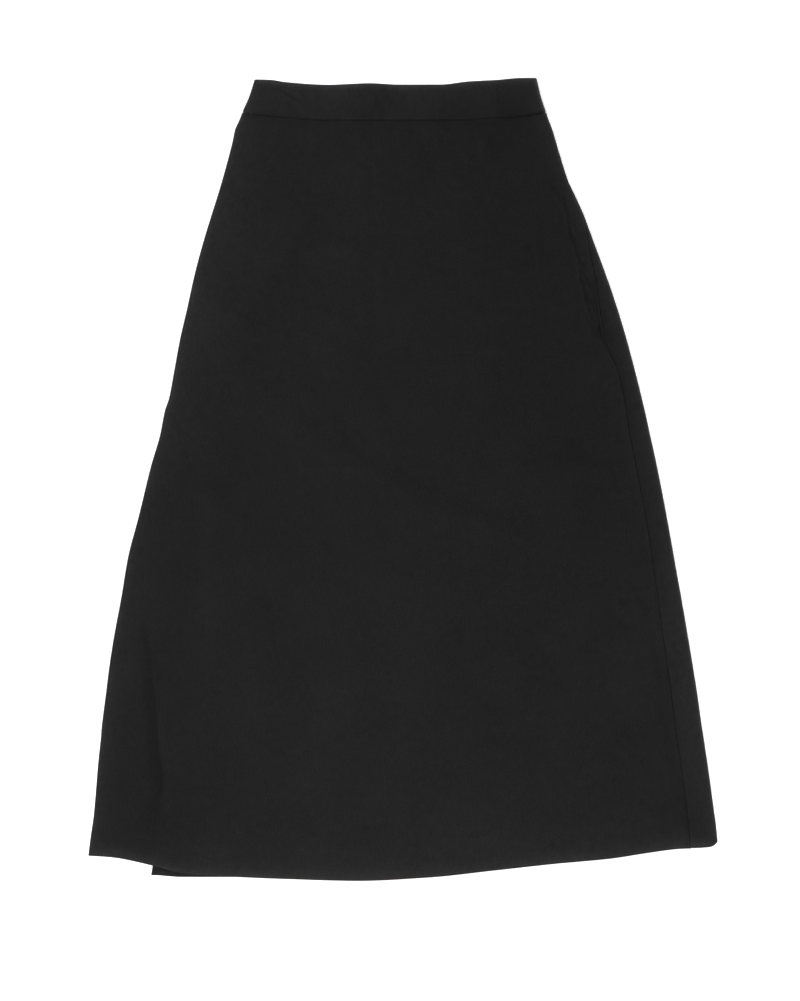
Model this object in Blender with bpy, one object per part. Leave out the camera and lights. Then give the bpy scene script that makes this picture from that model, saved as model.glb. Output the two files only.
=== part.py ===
"""Midi skirt in plain black cloth, laid flat on its back with the front uppermost.

The skirt is a flattened tube, so each cross-section is one flat ring of cloth. The back panel lies on the
surface, the front panel lies on it, and the ring turns over in a soft fold at each side. The side seams have
rolled a little: the left one lies underneath, and the right one lies on top. Below the slit tops the seams
are open, and on the left the front panel has unrolled past the edge of the back panel.

Lengths are in metres. X runs across the skirt, Y runs up to the waist and Z is up. Left and right are as seen
from above. A drop is a distance down from the top of the waistband. A reach is the distance along the cloth
from the outermost point of a side fold: positive over the top, negative underneath.
"""
import math

import bpy
import numpy as np

# Driving dimensions
CLOTH_WALL = 0.0012        # panels
BAND_WALL = 0.0020         # waistband: two layers and their interfacing
TAPE_WALL = 0.0010         # woven tape of the zip
GAP = 0.0003               # clear space between pieces that meet
PANEL_FOLD = 0.0020        # radius of the side folds in the panels
BAND_FOLD = 0.0024         # radius of the side folds in the waistband
PANEL_LOFT = 0.0014        # how far the front panel stands off the back one
LEAST_LOFT = 0.0001        # the same at the bottom of a crease
BAND_LOFT = 0.0015         # the same in the waistband
FOLD_SPREAD = 0.022        # width over which a side fold flattens out
WAIST_SEAM_DROP = 0.0389   # waist seam at its two ends
WAIST_SEAM_SAG = 0.0094    # how much lower it lies in the middle
WAIST_SEAM_POWER = 3.2     # how flat its curve is in the middle
BAND_EASE = 0.0008         # rise of the front panel where it meets the thicker waistband
BAND_EASE_LENGTH = 0.030
SLIT_DROP = 0.602          # top of both side slits
SLIT_PARTING = 0.0011      # widest opening of the right slit as it lies
SLIT_WAVE = 0.066          # half of the distance between two places where it opens widest
ROLL_DROP = 0.150          # where the right seam rolls over the side fold
ROLL_PARTING = 0.0003      # extra space between its two edges there
ZIP_TOP, ZIP_END = 0.0125, 0.309
ZIP_WIDTH = 0.020
ZIP_INSET = 0.015          # middle of the zip from the right outline, at the waist
ZIP_BULK = 0.022           # width over which the zip props up the waistband
SLIDER_LENGTH, SLIDER_WIDTH, SLIDER_HEIGHT = 0.0085, 0.0050, 0.0018
TAB_LENGTH, TAB_THICKNESS = 0.017, 0.0008

# Where creases fade out towards the outline, and where the front drops off the back's left edge
CREASE_FADE = (0.004, 0.026)
RIGHT_CREASE_INSET = 0.006
EDGE_FALL = (0.001, 0.007)
EDGE_BARED = (0.020, 0.120)    # drops below the slit's top between which that edge comes to show
HEM_BLEND = 8                  # the two hems part only near the bottom: power of the way down

# Mesh fineness
DOWN_STEPS = 36
ROLL_STEPS = range(3, 7)       # steps that are halved, where the right seam rolls over the fold
BAND_STEPS = 4
ACROSS_STEPS = 21
BACK_STEPS = 14
FOLD_STEPS = 6
TAPE_STEPS = 14
UNDER_SHARES = (0.0, 0.4, 0.8)
STRIP_SHARES = (1.0, 0.8, 0.5, 0.2)
LEFT_REACHES = (0.006, 0.013)              # of the front's points beside the left fold
EDGE_OFFSETS = (-0.008, -0.001, 0.010)     # of its points beside the back's left edge
LEAST_EDGE = 0.030
RIGHT_REACHES = (0.034, 0.024, 0.014, 0.007)
BEYOND_FOLD = 0.004
LEAST_STEP = 0.0004            # closest that two points of a section may be along the cloth

BLACK_CLOTH = (0.020, 0.020, 0.020, 1.0)
BLACK_TAPE = (0.012, 0.012, 0.012, 1.0)
BLACK_METAL = (0.030, 0.030, 0.032, 1.0)


def table(headings, *rows):
    """A short table with one named column for each heading."""
    return dict(zip(headings.split(), np.array(rows, dtype=float).T))


# Outline of the skirt as it lies
OUTLINE = table(
    "drop left right",
    (0.000, -0.1660, 0.1510), (0.022, -0.1730, 0.1563), (0.038, -0.1801, 0.1617), (0.048, -0.1840, 0.1652),
    (0.059, -0.1889, 0.1694), (0.070, -0.1911, 0.1727), (0.083, -0.1943, 0.1765), (0.115, -0.2030, 0.1866),
    (0.128, -0.2068, 0.1926), (0.152, -0.2144, 0.2034), (0.185, -0.2245, 0.2157), (0.223, -0.2346, 0.2298),
    (0.259, -0.2425, 0.2420), (0.295, -0.2508, 0.2528), (0.331, -0.2574, 0.2624), (0.362, -0.2633, 0.2700),
    (0.374, -0.2675, 0.2729), (0.403, -0.2733, 0.2793), (0.436, -0.2830, 0.2865), (0.494, -0.2972, 0.2978),
    (0.540, -0.3092, 0.3060), (0.584, -0.3166, 0.3139), (0.640, -0.3268, 0.3235), (0.697, -0.3344, 0.3326),
    (0.719, -0.3373, 0.3356), (0.764, -0.3428, 0.3425), (0.832, -0.3487, 0.3517), (0.854, -0.3519, 0.3541),
    (0.904, -0.3580, 0.3590),
)

# Drop of the waistband's top edge and of both hems; across is 0 at the left outline and 1 at the right
BAND_TOP = table(
    "across drop",
    (0.00, 0.0021), (0.06, 0.0027), (0.11, 0.0050), (0.26, 0.0080), (0.41, 0.0063), (0.51, 0.0078),
    (0.66, 0.0077), (0.76, 0.0042), (0.86, 0.0026), (0.95, 0.0005), (1.00, 0.0005),
)
HEM = table(
    "across front back",
    (0.00, 0.876, 0.898), (0.04, 0.878, 0.898), (0.08, 0.883, 0.898), (0.11, 0.888, 0.898),
    (0.15, 0.895, 0.900), (0.20, 0.898, 0.900), (0.25, 0.900, 0.900), (0.32, 0.902, 0.900),
    (0.43, 0.904, 0.902), (0.54, 0.9003, 0.8983), (0.65, 0.892, 0.891), (0.74, 0.885, 0.884),
    (0.83, 0.879, 0.878), (0.89, 0.8725, 0.8715), (0.94, 0.868, 0.867), (0.96, 0.8675, 0.867),
    (0.985, 0.866, 0.866), (0.993, 0.8645, 0.8645), (1.00, 0.860, 0.860),
)

# Left side: how far in from the outline the front's and the back's edges lie underneath, and the fold's radius
LEFT_SIDE = table(
    "drop front back radius",
    (0.000, 0.009, 0.009, 0.0020), (0.040, 0.009, 0.009, 0.0020), (0.115, 0.018, 0.018, 0.0020),
    (0.240, 0.027, 0.027, 0.0020), (0.400, 0.030, 0.030, 0.0020), (0.590, 0.0319, 0.0319, 0.0020),
    (0.602, 0.032, 0.032, 0.0020), (0.634, 0.018, 0.042, 0.0020), (0.678, 0.005, 0.052, 0.0017),
    (0.712, 0.001, 0.060, 0.0008), (0.752, 0.0006, 0.068, 0.0001), (0.791, 0.0006, 0.077, 0.0001),
    (0.848, 0.0006, 0.075, 0.0001), (0.904, 0.0006, 0.074, 0.0001),
)

# Right side: reach of the seam from the fold, so it lies on the outline at the waist and on top lower down
RIGHT_SEAM = table(
    "drop reach",
    (0.000, 0.0000), (0.115, 0.0000), (0.145, 0.0010), (0.174, 0.0055), (0.200, 0.0105), (0.230, 0.0150),
    (0.251, 0.0195), (0.291, 0.0245), (0.308, 0.0230), (0.323, 0.0195), (0.338, 0.0195), (0.397, 0.0232),
    (0.453, 0.0243), (0.498, 0.0245), (0.543, 0.0256), (0.588, 0.0274), (0.644, 0.0283), (0.701, 0.0292),
    (0.769, 0.0298), (0.836, 0.0304), (0.904, 0.0302),
)

# Largest soft creases of the front panel: straight stretches, with their rise and their half-width
CREASES = table(
    "from_x from_drop to_x to_drop rise width",
    (-0.098, 0.158, -0.191, 0.284, -0.0010, 0.014),     # slanting in from the left hip
    (-0.108, 0.194, -0.025, 0.186, -0.0006, 0.013),     # branching off it towards the middle
    (-0.127, 0.385, -0.025, 0.447, -0.0010, 0.016),     # the long diagonal, in three stretches
    (-0.025, 0.447, 0.082, 0.496, -0.0011, 0.016),
    (0.082, 0.496, 0.155, 0.526, -0.0008, 0.016),
    (0.121, 0.440, 0.211, 0.436, -0.0007, 0.014),       # to the right side
    (-0.222, 0.453, -0.172, 0.521, -0.0008, 0.014),     # from the left side
    (-0.262, 0.476, -0.262, 0.645, -0.0006, 0.016),     # long waves down the left
    (-0.228, 0.464, -0.222, 0.760, 0.0008, 0.018),
    (-0.160, 0.600, -0.160, 0.780, -0.0007, 0.020),     # long waves down the middle
    (-0.104, 0.588, -0.104, 0.790, 0.0008, 0.022),
    (-0.053, 0.600, -0.053, 0.780, -0.0006, 0.018),
    (-0.008, 0.570, -0.008, 0.790, 0.0007, 0.022),
    (0.170, 0.620, 0.150, 0.800, 0.0006, 0.024),        # a faint one on the right
)

ZIP_PATH = table("drop inset", (0.000, ZIP_INSET), (0.170, ZIP_INSET), (0.251, 0.0195), (0.320, 0.0245))


def read(sheet, column, place):
    """One column's value at a place along the first column, on a smooth curve through the rows."""
    keys = next(iter(sheet.values()))
    values = sheet[column]
    rates = np.diff(values) / np.diff(keys)
    turns = rates[:-1] * rates[1:] <= 0
    inner = np.where(turns, 0.0, 2 * rates[:-1] * rates[1:] / np.where(turns, 1.0, rates[:-1] + rates[1:]))
    slopes = np.concatenate([rates[:1], inner, rates[-1:]])
    place = min(max(place, keys[0]), keys[-1])
    row = min(max(int(np.searchsorted(keys, place)) - 1, 0), len(keys) - 2)
    step = keys[row + 1] - keys[row]
    t = (place - keys[row]) / step
    start = (1 + 2 * t) * (1 - t) ** 2 * values[row] + t * (1 - t) ** 2 * step * slopes[row]
    end = t * t * (3 - 2 * t) * values[row + 1] - t * t * (1 - t) * step * slopes[row + 1]
    return float(start + end)


def ease(low, high, value):
    """Smooth step from 0 at low to 1 at high."""
    t = min(max((value - low) / (high - low), 0.0), 1.0)
    return t * t * (3 - 2 * t)


def waist_seam(across):
    return WAIST_SEAM_DROP + WAIST_SEAM_SAG * (1 - abs(2 * across - 1) ** WAIST_SEAM_POWER)


def crease_rise(x, drop):
    """Sum of all the creases at one point: each fades out sideways and past its ends."""
    run_x = CREASES["to_x"] - CREASES["from_x"]
    run_drop = CREASES["to_drop"] - CREASES["from_drop"]
    along = (x - CREASES["from_x"]) * run_x + (drop - CREASES["from_drop"]) * run_drop
    along = np.clip(along / (run_x ** 2 + run_drop ** 2), 0.0, 1.0)
    off = np.hypot(x - CREASES["from_x"] - along * run_x, drop - CREASES["from_drop"] - along * run_drop)
    return float(np.sum(CREASES["rise"] * np.exp(-(off / CREASES["width"]) ** 2)))


class Level:
    """One cross-section of the flattened tube, from the left outline to the right one."""

    def __init__(self, top, bottom, down, wall, folds, loft):
        self.top, self.bottom, self.down = top, bottom, down
        self.wall, self.loft = wall, loft
        self.left_radius, self.right_radius = folds
        self.left_drop = self.drop_at(0.0)
        self.right_drop = self.drop_at(1.0)
        self.left = read(OUTLINE, "left", self.left_drop)
        self.right = read(OUTLINE, "right", self.right_drop)

    def drop_at(self, across):
        return self.top(across) + self.down * (self.bottom(across) - self.top(across))

    def height(self, x, drop):
        """Middle of the upper layer's wall."""
        support = self.wall + GAP
        loft = self.loft
        fold_left = self.wall / 2 + 2 * self.left_radius
        fold_right = self.wall / 2 + 2 * self.right_radius
        in_left = x - self.left - self.wall / 2 - self.left_radius
        in_right = self.right - x - self.wall / 2 - self.right_radius
        if self.wall == CLOTH_WALL:
            loft += BAND_EASE * math.exp(-max(drop - WAIST_SEAM_DROP, 0.0) / BAND_EASE_LENGTH)
            loft += crease_rise(x, drop) * ease(*CREASE_FADE, min(in_left, in_right - RIGHT_CREASE_INSET))
            loft = max(loft, LEAST_LOFT)
            edge = read(LEFT_SIDE, "back", drop) + self.left - x
            bare = ease(*EDGE_FALL, edge) * ease(*EDGE_BARED, drop - SLIT_DROP)
            support *= 1 - bare
            loft *= 1 - 0.9 * bare
        rest = self.wall / 2 + support + loft
        if self.wall == BAND_WALL:
            in_right = max(in_right - ZIP_BULK, 0.0)
        left_share = math.exp(-(max(in_left, 0.0) / FOLD_SPREAD) ** 2)
        right_share = math.exp(-(max(in_right, 0.0) / FOLD_SPREAD) ** 2)
        return rest + (fold_left - rest) * left_share + (fold_right - rest) * right_share

    def point(self, x, z=None):
        across = (x - self.left) / (self.right - self.left)
        drop = self.drop_at(across)
        return (x, -drop, self.height(x, drop) if z is None else z)

    def around(self, side, reach):
        """Point at a reach from the outermost point of the left or right fold."""
        radius = self.left_radius if side == "left" else self.right_radius
        quarter = math.pi / 2 * radius
        if abs(reach) > quarter:
            inset = self.wall / 2 + radius + abs(reach) - quarter
            z = None if reach > 0 else self.wall / 2
        else:
            inset = self.wall / 2 + radius * (1 - math.cos(reach / radius))
            z = self.wall / 2 + radius * (1 + math.sin(reach / radius))
        return self.point(self.left + inset if side == "left" else self.right - inset, z)

    def reach_under(self, side, inset):
        """Reach, underneath, of a point this far in from the outline."""
        radius = self.left_radius if side == "left" else self.right_radius
        return -(inset - self.wall / 2 - radius + math.pi / 2 * radius)


def arc_reaches(radius):
    """Reaches around a side fold, from its top to its underside."""
    return [math.pi / 2 * radius * (1 - 2 * step / FOLD_STEPS) for step in range(FOLD_STEPS + 1)]


def panel_level(hem_column):
    """Levels of one panel, from the waist seam to the hem."""
    def level(down):
        def bottom(across):
            common = read(HEM, "front", across)
            return common + (read(HEM, hem_column, across) - common) * down ** HEM_BLEND
        radius = read(LEFT_SIDE, "radius", waist_seam(0.0) + down * (bottom(0.0) - waist_seam(0.0)))
        return Level(lambda across: waist_seam(across) + GAP / 2, bottom, down, CLOTH_WALL,
                     (radius, PANEL_FOLD), PANEL_LOFT)
    return level


def band_level(down):
    return Level(lambda across: read(BAND_TOP, "drop", across), lambda across: waist_seam(across) - GAP / 2,
                 down, BAND_WALL, (BAND_FOLD, BAND_FOLD), BAND_LOFT)


def front_section(level):
    """The front's middle line, from its edge underneath on the left to its edge on the right."""
    start = level.reach_under("left", read(LEFT_SIDE, "front", level.left_drop) - GAP / 2)
    radius = level.left_radius
    under = [start + (-math.pi / 2 * radius - start) * share for share in UNDER_SHARES]
    edge = max(read(LEFT_SIDE, "back", level.left_drop), LEAST_EDGE)
    inner = [edge + offset for offset in EDGE_OFFSETS]
    reaches = under + arc_reaches(radius)[::-1] + list(LEFT_REACHES) + inner
    least = [start + LEAST_STEP * count for count in range(len(reaches))]
    left_part = [level.around("left", max(pair)) for pair in zip(reaches, least)]

    end = read(RIGHT_SEAM, "reach", level.right_drop) + right_parting(level.right_drop) / 2
    near = list(RIGHT_REACHES) + arc_reaches(level.right_radius)[:FOLD_STEPS // 2 + 1]
    least = [end + LEAST_STEP * (len(near) - 1 - count) for count in range(len(near))]
    right_part = [level.around("right", max(pair)) for pair in zip(near, least)]

    start_x, end_x = left_part[-1][0], right_part[0][0]
    shares = [step / (ACROSS_STEPS + 1) for step in range(1, ACROSS_STEPS + 1)]
    middle = [level.point(start_x + (end_x - start_x) * share) for share in shares]
    return left_part + middle + right_part


def back_section(level):
    """The back's middle line, from its edge at the right seam, under the skirt, to its left edge."""
    end = read(RIGHT_SEAM, "reach", level.right_drop) - right_parting(level.right_drop) / 2
    quarter = math.pi / 2 * level.right_radius
    strip = [quarter + (end - quarter) * share for share in STRIP_SHARES]
    reaches = strip + arc_reaches(level.right_radius) + [-quarter - BEYOND_FOLD]
    most = [end - LEAST_STEP * count for count in range(len(reaches))]
    fold = [level.around("right", min(pair)) for pair in zip(reaches, most)]

    start_x = fold[-1][0]
    end_x = level.left + read(LEFT_SIDE, "back", level.left_drop) + GAP / 2
    shares = [step / BACK_STEPS for step in range(1, BACK_STEPS + 1)]
    return fold + [level.point(start_x + (end_x - start_x) * share, level.wall / 2) for share in shares]


def right_parting(drop):
    """Width of the gap between the two edges at the right seam, which is open below the slit's top."""
    below = max(drop - SLIT_DROP, 0.0)
    wave = 0.5 - 0.5 * math.cos(below / SLIT_WAVE * math.pi)
    rolled = 1 - ease(0.0, 0.05, abs(drop - ROLL_DROP))
    return GAP + SLIT_PARTING * wave * ease(0.0, 0.05, below) + ROLL_PARTING * rolled


def tape_section(drop):
    """Four points across the zip's tape, which lies between the layers along the right side."""
    inset = read(ZIP_PATH, "inset", drop)
    right = read(OUTLINE, "right", drop)
    lift = BAND_WALL - CLOTH_WALL
    above = WAIST_SEAM_DROP + WAIST_SEAM_SAG / 2
    lift *= 1.0 if drop < above else math.exp(-(drop - above) / (BAND_EASE_LENGTH / 2))
    z = CLOTH_WALL + GAP + lift + TAPE_WALL / 2
    return [(right - inset + ZIP_WIDTH * side, -drop, z) for side in (-0.5, -0.17, 0.17, 0.5)]


def finish(name, colour, roughness, metallic=0.0):
    material = bpy.data.materials.new(name)
    material.use_nodes = True
    shader = material.node_tree.nodes["Principled BSDF"]
    shader.inputs["Base Color"].default_value = colour
    shader.inputs["Roughness"].default_value = roughness
    shader.inputs["Metallic"].default_value = metallic
    return material


def add_piece(name, points, faces, material):
    mesh = bpy.data.meshes.new(name)
    mesh.from_pydata(points, [], faces)
    mesh.materials.append(material)
    mesh.shade_smooth()
    mesh.set_sharp_from_angle(angle=math.radians(40))
    piece = bpy.data.objects.new(name, mesh)
    bpy.context.scene.collection.objects.link(piece)
    return piece


def wall(name, sections, thickness, material):
    """A closed wall of cloth about a middle surface, given as rows of points that run down the skirt."""
    middle = np.array(sections, dtype=float)
    rows, columns = middle.shape[:2]
    along = np.gradient(middle, axis=1, edge_order=2)
    downward = np.gradient(middle, axis=0, edge_order=2)
    normal = np.cross(downward, along)
    normal /= np.linalg.norm(normal, axis=2, keepdims=True)
    outer = (middle + normal * thickness / 2).reshape(-1, 3)
    inner = (middle - normal * thickness / 2).reshape(-1, 3)
    index = np.arange(rows * columns).reshape(rows, columns)
    under = index + rows * columns
    faces = []
    for row in range(rows - 1):
        for column in range(columns - 1):
            a, b = index[row, column], index[row, column + 1]
            c, d = index[row + 1, column + 1], index[row + 1, column]
            faces.append((a, d, c, b))
            faces.append(tuple(under[row + i, column + j] for i, j in ((0, 0), (0, 1), (1, 1), (1, 0))))
    rim = [(0, column) for column in range(columns)]
    rim += [(row, columns - 1) for row in range(1, rows)]
    rim += [(rows - 1, column) for column in range(columns - 2, -1, -1)]
    rim += [(row, 0) for row in range(rows - 2, 0, -1)]
    for here, after in zip(rim, rim[1:] + rim[:1]):
        faces.append((index[here], index[after], under[after], under[here]))
    return add_piece(name, np.vstack([outer, inner]).tolist(), [tuple(map(int, f)) for f in faces], material)


def slider(name, material):
    """Slider at the top of the closed zip, with its tab turned in and lying down along the tape."""
    base = BAND_WALL + GAP
    top = base + SLIDER_HEIGHT
    tab_base = base + TAPE_WALL + GAP
    high = -(ZIP_TOP - GAP - SLIDER_LENGTH)
    low = high - SLIDER_LENGTH
    tab_top, end = tab_base + TAB_THICKNESS, low - TAB_LENGTH
    outline = [(high, base), (high, top), (low, tab_top), (end, tab_top), (end, tab_base), (low, tab_base),
               (low, base)]
    middle = read(OUTLINE, "right", ZIP_TOP) - ZIP_INSET
    half = SLIDER_WIDTH / 2
    points = [(middle + side * half, y, z) for side in (-1, 1) for y, z in outline]
    count = len(outline)
    faces = [tuple(range(count))[::-1], tuple(range(count, 2 * count))]
    faces += [(i, (i + 1) % count, (i + 1) % count + count, i + count) for i in range(count)]
    return add_piece(name, points, faces, material)


def centre(pieces):
    """Move everything so that the origin is at the middle of the surface the skirt lies on."""
    points = np.array([v.co for piece in pieces for v in piece.data.vertices])
    middle = (points.min(axis=0) + points.max(axis=0)) / 2
    for piece in pieces:
        for vertex in piece.data.vertices:
            vertex.co.x -= middle[0]
            vertex.co.y -= middle[1]


def main():
    for thing in list(bpy.data.objects):
        bpy.data.objects.remove(thing)
    downs = [step / DOWN_STEPS for step in range(DOWN_STEPS + 1)]
    downs = sorted(downs + [(step + 0.5) / DOWN_STEPS for step in ROLL_STEPS])
    band_downs = [step / BAND_STEPS for step in range(BAND_STEPS + 1)]
    tape_drops = np.linspace(ZIP_TOP, ZIP_END, TAPE_STEPS + 1)
    centre([
        wall("front_panel", [front_section(panel_level("front")(down)) for down in downs],
             CLOTH_WALL, finish("front_cloth", BLACK_CLOTH, 0.85)),
        wall("back_panel", [back_section(panel_level("back")(down)) for down in downs],
             CLOTH_WALL, finish("back_cloth", BLACK_CLOTH, 0.85)),
        wall("waistband_front", [front_section(band_level(down)) for down in band_downs],
             BAND_WALL, finish("band_front_cloth", BLACK_CLOTH, 0.85)),
        wall("waistband_back", [back_section(band_level(down)) for down in band_downs],
             BAND_WALL, finish("band_back_cloth", BLACK_CLOTH, 0.85)),
        wall("zip_tape", [tape_section(drop) for drop in tape_drops],
             TAPE_WALL, finish("zip_weave", BLACK_TAPE, 0.7)),
        slider("zip_slider", finish("zip_metal", BLACK_METAL, 0.45, 0.8)),
    ])


main()
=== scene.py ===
import math

import bpy
import numpy as np
from mathutils import Matrix, Vector, noise


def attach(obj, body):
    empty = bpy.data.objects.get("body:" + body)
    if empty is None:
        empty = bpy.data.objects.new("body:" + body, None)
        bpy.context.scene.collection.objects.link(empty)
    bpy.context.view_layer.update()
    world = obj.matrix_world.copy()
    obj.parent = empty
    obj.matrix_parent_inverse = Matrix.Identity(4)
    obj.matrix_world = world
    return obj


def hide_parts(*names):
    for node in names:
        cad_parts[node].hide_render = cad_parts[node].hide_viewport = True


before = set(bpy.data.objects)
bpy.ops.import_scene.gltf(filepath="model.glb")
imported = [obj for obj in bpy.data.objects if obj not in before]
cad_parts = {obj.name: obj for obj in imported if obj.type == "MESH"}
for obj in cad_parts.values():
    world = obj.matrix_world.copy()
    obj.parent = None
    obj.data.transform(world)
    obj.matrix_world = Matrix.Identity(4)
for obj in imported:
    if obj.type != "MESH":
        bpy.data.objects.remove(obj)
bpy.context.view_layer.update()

# A plain black midi skirt laid flat on its back, front uppermost. It is a flattened tube: the back panel lies on
# the surface, the front panel lies on it, and the cloth turns over in a soft fold at each side. X runs across,
# Y runs up to the waist, Z is up, and left and right are as seen from above. A drop is a distance down from the
# top of the waistband. A reach is a distance along the cloth from the outermost point of a side fold: positive
# over the top, negative underneath. Lengths are in metres unless a table says millimetres.

# Where the skirt lies
MIDDLE_X = 0.000325        # across, from the origin to the line the outline is measured from
WAIST_Y = 0.452084         # the top of the waistband

# The solids' own sizes
PANEL_WALL, BAND_WALL, TAPE_WALL = 0.0012, 0.0020, 0.0010
GAP = 0.0003
PANEL_FOLD, BAND_FOLD = 0.0020, 0.0024
PANEL_LOFT, LEAST_LOFT, BAND_LOFT = 0.0014, 0.0001, 0.0015
FOLD_SPREAD = 0.022
WAIST_SEAM_DROP, WAIST_SEAM_SAG, WAIST_SEAM_POWER = 0.0389, 0.0094, 3.2
BAND_EASE, BAND_EASE_LENGTH = 0.0008, 0.030
WAIST_RISE, WAIST_RISE_LENGTH = 0.0005, 0.018
SLIT_DROP, SLIT_PARTING, SLIT_WAVE = 0.602, 0.0011, 0.066
ROLL_DROP, ROLL_PARTING = 0.150, 0.0003
ZIP_TOP, ZIP_END, ZIP_WIDTH, ZIP_INSET, ZIP_BULK = 0.0125, 0.309, 0.020, 0.015, 0.022

# The real cloth
CLOTH = 0.0009             # one layer of the panels
HEM_CLOTH = 0.0015         # turned up at the hem and turned in along the slits
HEM_TURN = 0.032           # depth of the hem's turning
SLIT_TURN = 0.012
BAND_CLOTH = 0.0017
TAPE_CLOTH = 0.0005
SEAM_ROLL = 0.0006         # radius at which an edge rolls into the side seam
ZIP_ROLL = 0.0003          # the same beside the zip
WAIST_ROLL = 0.0003        # the same at the waist
SEAM_DEPTH = 0.0008        # straight part of the turned-in edge below the roll
SEAM_HOLLOW = 0.25         # how far the stitches draw the cloth down beside a seam, as a share of the roll
DEEPEST_DIP = 0.0018       # the most that a turned-in edge goes below the cloth around it
SLIT_TUCK = 0.0003         # how far the front's open edge lies below the strip beside it
SLIT_CLOSING = 0.05        # share of the solids' gap that is left between the open edges

# Low uneven swell of the cloth: the height and the size of its hollows
PANEL_SWELL, BESIDE_ZIP_SWELL = (0.00024, 0.045), (0.00032, 0.0075)
BAND_SWELL = (0.00012, 0.030)
UNDERSIDE_SWELL, BAND_UNDERSIDE_SWELL = (0.00008, 0.06), (0.00006, 0.04)
BESIDE_ZIP = 0.009         # how far across it the zip stirs the cloth

# Painted highlights along the rims, where the cloth turns down at its edges: how far in from an edge each one
# fades
FINE_RIM, SOFT_RIM, FAR_RIM = 0.003, 0.022, 0.0038
HEM_RIM, SHADED_RIM = 0.0055, 0.0014

# Length of the cloth down the skirt, and where rows of the mesh lie closer: place, half-width, spacing there
PANEL_LENGTH, BAND_LENGTH = 0.855, 0.036
PANEL_SPOTS = [
    (0.0, 0.0045, 0.0005), (0.012, 0.008, 0.003),  # the waist seam
    (0.170, 0.108, 0.0019),  # the zip
    (0.373, 0.030, 0.0040),  # small creases at the left edge
    (0.562, 0.02, 0.004), (PANEL_LENGTH, 0.0035, 0.0006),  # the top of the slits, and the hem
]
BAND_SPOTS = [(0.0, 0.003, 0.0004), (BAND_LENGTH, 0.0045, 0.0005)]

# The zip's coil and slider
COIL_WIRE, COIL_WIDTH, COIL_PITCH, COIL_SLANT = 0.00055, 0.0040, 0.0013, math.radians(9)
SLIDER_LENGTH = 0.0085


def table(headings, *rows):
    """A short table with one named column for each heading."""
    return dict(zip(headings.split(), np.array(rows, dtype=float).T))


# Outline of the skirt as it lies
OUTLINE = table(
    "drop left right",
    (0.000, -0.1660, 0.1510), (0.022, -0.1730, 0.1563), (0.038, -0.1801, 0.1617), (0.048, -0.1840, 0.1652),
    (0.059, -0.1889, 0.1694), (0.070, -0.1911, 0.1727), (0.083, -0.1943, 0.1765), (0.115, -0.2030, 0.1866),
    (0.128, -0.2068, 0.1926), (0.152, -0.2144, 0.2034), (0.185, -0.2245, 0.2157), (0.223, -0.2346, 0.2298),
    (0.259, -0.2425, 0.2420), (0.295, -0.2508, 0.2528), (0.331, -0.2574, 0.2624), (0.362, -0.2633, 0.2700),
    (0.374, -0.2675, 0.2729), (0.403, -0.2733, 0.2793), (0.436, -0.2830, 0.2865), (0.494, -0.2972, 0.2978),
    (0.540, -0.3092, 0.3060), (0.584, -0.3166, 0.3139), (0.640, -0.3268, 0.3235), (0.697, -0.3344, 0.3326),
    (0.719, -0.3373, 0.3356), (0.764, -0.3428, 0.3425), (0.832, -0.3487, 0.3517), (0.854, -0.3519, 0.3541),
    (0.904, -0.3580, 0.3590),
)

# Drop of the waistband's top edge and of both hems; across is 0 at the left outline and 1 at the right
BAND_TOP = table(
    "across drop",
    (0.00, 0.0021), (0.06, 0.0027), (0.11, 0.0050), (0.26, 0.0080), (0.41, 0.0063), (0.51, 0.0078),
    (0.66, 0.0077), (0.76, 0.0042), (0.86, 0.0026), (0.95, 0.0005), (1.00, 0.0005),
)
HEM = table(
    "across front back",
    (0.00, 0.876, 0.898), (0.04, 0.878, 0.898), (0.08, 0.883, 0.898), (0.11, 0.888, 0.898),
    (0.15, 0.895, 0.900), (0.20, 0.898, 0.900), (0.25, 0.900, 0.900), (0.32, 0.902, 0.900),
    (0.43, 0.904, 0.902), (0.54, 0.9003, 0.8983), (0.65, 0.892, 0.891), (0.74, 0.885, 0.884),
    (0.83, 0.879, 0.878), (0.89, 0.8725, 0.8715), (0.94, 0.868, 0.867), (0.96, 0.8675, 0.867),
    (0.985, 0.866, 0.866), (0.993, 0.8645, 0.8645), (1.00, 0.860, 0.860),
)

# Left side: how far in from the outline the front's and the back's edges lie underneath, and the fold's radius
LEFT_SIDE = table(
    "drop front back radius",
    (0.000, 0.009, 0.009, 0.0020), (0.040, 0.009, 0.009, 0.0020), (0.115, 0.018, 0.018, 0.0020),
    (0.240, 0.027, 0.027, 0.0020), (0.400, 0.030, 0.030, 0.0020), (0.590, 0.0319, 0.0319, 0.0020),
    (0.602, 0.032, 0.032, 0.0020), (0.634, 0.018, 0.042, 0.0020), (0.678, 0.005, 0.052, 0.0017),
    (0.712, 0.001, 0.060, 0.0008), (0.752, 0.0006, 0.068, 0.0001), (0.791, 0.0006, 0.077, 0.0001),
    (0.848, 0.0006, 0.075, 0.0001), (0.904, 0.0006, 0.074, 0.0001),
)

# Right side: reach of the seam from the fold
RIGHT_SEAM = table(
    "drop reach",
    (0.000, 0.0000), (0.115, 0.0000), (0.145, 0.0010), (0.174, 0.0055), (0.200, 0.0105), (0.230, 0.0150),
    (0.251, 0.0195), (0.291, 0.0245), (0.308, 0.0230), (0.323, 0.0195), (0.338, 0.0195), (0.397, 0.0232),
    (0.453, 0.0243), (0.498, 0.0245), (0.543, 0.0256), (0.588, 0.0274), (0.644, 0.0283), (0.701, 0.0292),
    (0.769, 0.0298), (0.836, 0.0304), (0.904, 0.0302),
)

ZIP_PATH = table("drop inset", (0.000, ZIP_INSET), (0.170, ZIP_INSET), (0.251, 0.0195), (0.320, 0.0245))


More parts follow.
